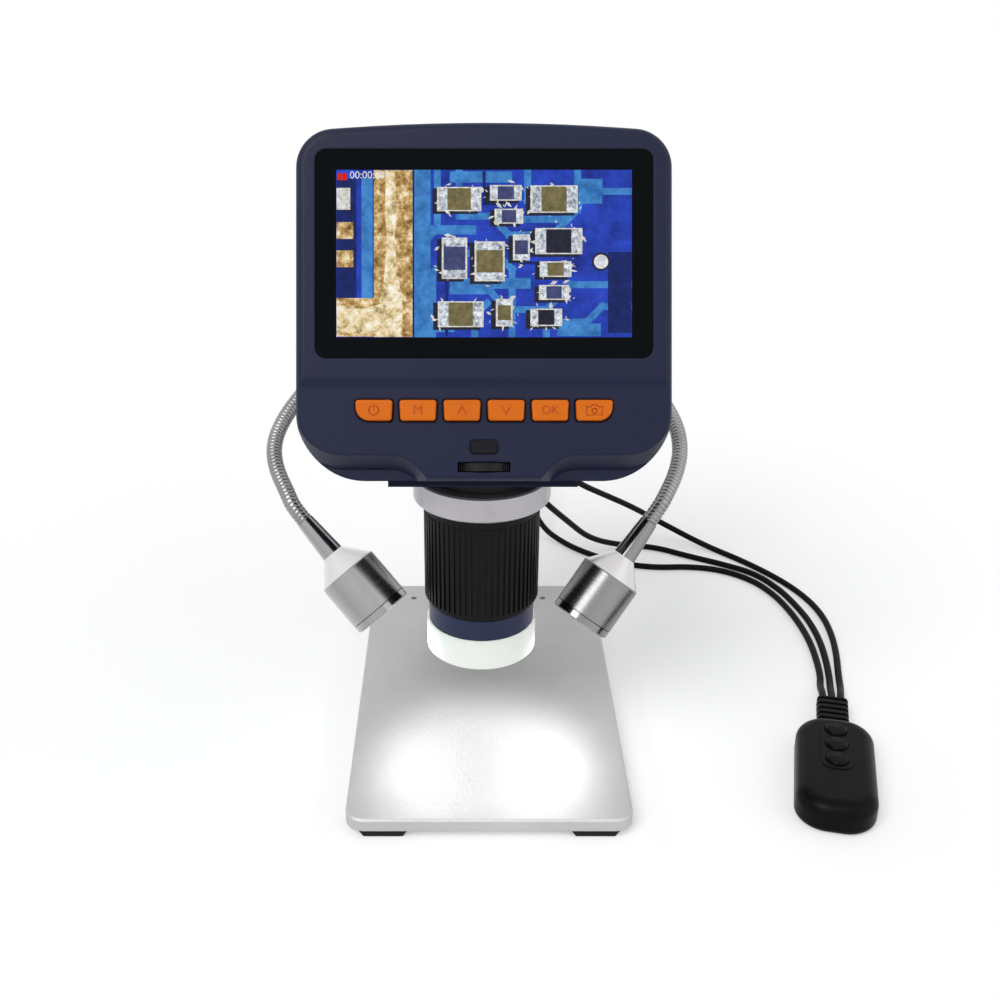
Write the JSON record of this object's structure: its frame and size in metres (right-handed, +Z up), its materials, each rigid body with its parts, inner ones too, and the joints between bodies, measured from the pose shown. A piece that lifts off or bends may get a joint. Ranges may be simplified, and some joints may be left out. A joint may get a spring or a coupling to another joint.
{
  "type": "lcd digital microscope",
  "caption": "Desk microscope with a tilted screen head on a tube, rack stand, flat metal stage, two gooseneck lamps and a corded light controller.",
  "frame": {"origin": "on the table under the middle of the head, half-way along the base plate", "axes": "+Z up along the column, +Y to the back, +X to the right as the user sees the screen"},
  "size_m": [0.2495, 0.3415, 0.2438],
  "materials": {
    "plate": "sandblasted, clear anodised",
    "rubber": "matt moulded rubber",
    "column_alu": "fine brushed, anodised",
    "steel": "turned",
    "knob": "fine texture",
    "collar_alu": "turned and anodised",
    "black_plastic": "fine moulded texture",
    "navy": "fine spark-eroded texture",
    "orange": "satin moulded",
    "screen_glass": "polished cover glass with a lit picture",
    "board": "solder resist",
    "dark_window": "polished",
    "clear_hood": "clear moulded acrylic, frosted inside",
    "lens_glass": "polished",
    "lamp_metal": "fine turned, satin chrome",
    "bezel_metal": "bright turned",
    "hose_metal": "wound bright steel",
    "lamp_window": "frosted",
    "cord": "soft extruded jacket",
    "controller_plastic": "fine satin",
    "plug_metal": "nickel plated"
  },
  "bodies": {
    "stand": {"base_plate": "plate", "foot_front_left": "rubber", "foot_front_right": "rubber", "foot_rear_left": "rubber", "foot_rear_right": "rubber", "column": "column_alu", "rack": "steel", "column_screw_left": "steel", "column_screw_right": "steel", "lamp_mount": "black_plastic", "controller_base": "controller_plastic", "controller_shell": "controller_plastic", "controller_boot": "cord", "lamp_lead_left": "cord", "lamp_lead_right": "cord", "usb_lead": "cord", "usb_coil": "cord", "usb_plug": "plug_metal"},
    "carriage": {"carriage": "black_plastic", "collar": "collar_alu"},
    "pinion": {"pinion_shaft": "steel", "knob_left": "knob", "knob_right": "knob"},
    "clamp": {"collar_screw": "steel"},
    "head": {"barrel": "black_plastic", "nose_ring": "navy", "led_ring": "board", "hood": "clear_hood", "front_shell": "navy", "rear_shell": "navy", "display_glass": "screen_glass", "lcd_panel": "steel", "main_board": "board", "ir_window": "dark_window", "side_socket": "black_plastic"},
    "focus": {"focus_ring": "black_plastic"},
    "lens": {"lens_cell": "black_plastic", "objective_lens": "lens_glass"},
    "dimmer": {"dimmer_wheel": "black_plastic"},
    "key_power": {"button_power": "orange"},
    "key_menu": {"button_menu": "orange"},
    "key_up": {"button_up": "orange"},
    "key_down": {"button_down": "orange"},
    "key_ok": {"button_ok": "orange"},
    "key_camera": {"button_camera": "orange"},
    "lamp_left": {"gooseneck_left": "hose_metal", "lamp_stem_left": "bezel_metal", "lamp_shell_left": "lamp_metal", "lamp_bezel_left": "bezel_metal", "lamp_lens_left": "lamp_window"},
    "lamp_right": {"gooseneck_right": "hose_metal", "lamp_stem_right": "bezel_metal", "lamp_shell_right": "lamp_metal", "lamp_bezel_right": "bezel_metal", "lamp_lens_right": "lamp_window"},
    "light_key_a": {"controller_key_a": "controller_plastic"},
    "light_key_b": {"controller_key_b": "controller_plastic"},
    "light_key_c": {"controller_key_c": "controller_plastic"}
  },
  "joints": [
    {"name": "height", "type": "slide", "parent": "stand", "child": "carriage", "axis": [0, 0, 1], "range_m": [-0.02, 0.045]},
    {"name": "height_knobs", "type": "hinge", "parent": "carriage", "child": "pinion", "pos_m": [0, 0.0509, 0.118], "axis": [1, 0, 0], "range_deg": [-540, 240]},
    {"name": "head_swivel", "type": "hinge", "parent": "carriage", "child": "head", "pos_m": [0, -0.0331, 0.1175], "axis": [0, 0, 1], "range_deg": [-30, 30]},
    {"name": "clamp_screw", "type": "hinge", "parent": "carriage", "child": "clamp", "pos_m": [0.02121, -0.01189, 0.11755], "axis": [0.7071, 0.7071, 0], "range_deg": [-180, 0]},
    {"name": "focus_turn", "type": "hinge", "parent": "head", "child": "focus", "pos_m": [0, -0.0331, 0.09], "axis": [0, 0, 1], "range_deg": [-90, 90]},
    {"name": "lens_travel", "type": "slide", "parent": "head", "child": "lens", "axis": [0, 0, 1], "range_m": [-0.0045, 0.0045]},
    {"name": "dimmer_turn", "type": "hinge", "parent": "head", "child": "dimmer", "pos_m": [0, -0.07165, 0.14016], "axis": [0, 0.4242, 0.9056], "range_deg": [-130, 130]},
    {"name": "press_power", "type": "slide", "parent": "head", "child": "key_power", "axis": [0, 0.9056, -0.4242], "range_m": [0, 0.0007], "stiffness_N_per_m": 400, "springref_m": -0.0003},
    {"name": "press_menu", "type": "slide", "parent": "head", "child": "key_menu", "axis": [0, 0.9056, -0.4242], "range_m": [0, 0.0007], "stiffness_N_per_m": 400, "springref_m": -0.0003},
    {"name": "press_up", "type": "slide", "parent": "head", "child": "key_up", "axis": [0, 0.9056, -0.4242], "range_m": [0, 0.0007], "stiffness_N_per_m": 400, "springref_m": -0.0003},
    {"name": "press_down", "type": "slide", "parent": "head", "child": "key_down", "axis": [0, 0.9056, -0.4242], "range_m": [0, 0.0007], "stiffness_N_per_m": 400, "springref_m": -0.0003},
    {"name": "press_ok", "type": "slide", "parent": "head", "child": "key_ok", "axis": [0, 0.9056, -0.4242], "range_m": [0, 0.0007], "stiffness_N_per_m": 400, "springref_m": -0.0003},
    {"name": "press_camera", "type": "slide", "parent": "head", "child": "key_camera", "axis": [0, 0.9056, -0.4242], "range_m": [0, 0.0007], "stiffness_N_per_m": 400, "springref_m": -0.0003},
    {"name": "gooseneck_left_bend", "type": "hinge", "parent": "stand", "child": "lamp_left", "pos_m": [-0.0253, 0.083, 0.161], "axis": [1, 0, 0], "range_deg": [-8, 12]},
    {"name": "gooseneck_right_bend", "type": "hinge", "parent": "stand", "child": "lamp_right", "pos_m": [0.0253, 0.083, 0.161], "axis": [1, 0, 0], "range_deg": [-8, 12]},
    {"name": "press_light_a", "type": "slide", "parent": "stand", "child": "light_key_a", "axis": [0, 0, -1], "range_m": [0, 0.0008], "stiffness_N_per_m": 400, "springref_m": -0.0003},
    {"name": "press_light_b", "type": "slide", "parent": "stand", "child": "light_key_b", "axis": [0, 0, -1], "range_m": [0, 0.0008], "stiffness_N_per_m": 400, "springref_m": -0.0003},
    {"name": "press_light_c", "type": "slide", "parent": "stand", "child": "light_key_c", "axis": [0, 0, -1], "range_m": [0, 0.0008], "stiffness_N_per_m": 400, "springref_m": -0.0003}
  ],
  "couplings": [
    {"joint": "height_knobs", "follows": "height", "rad_per_m": -200},
    {"joint": "lens_travel", "follows": "focus_turn", "m_per_rad": 0.0026}
  ]
}
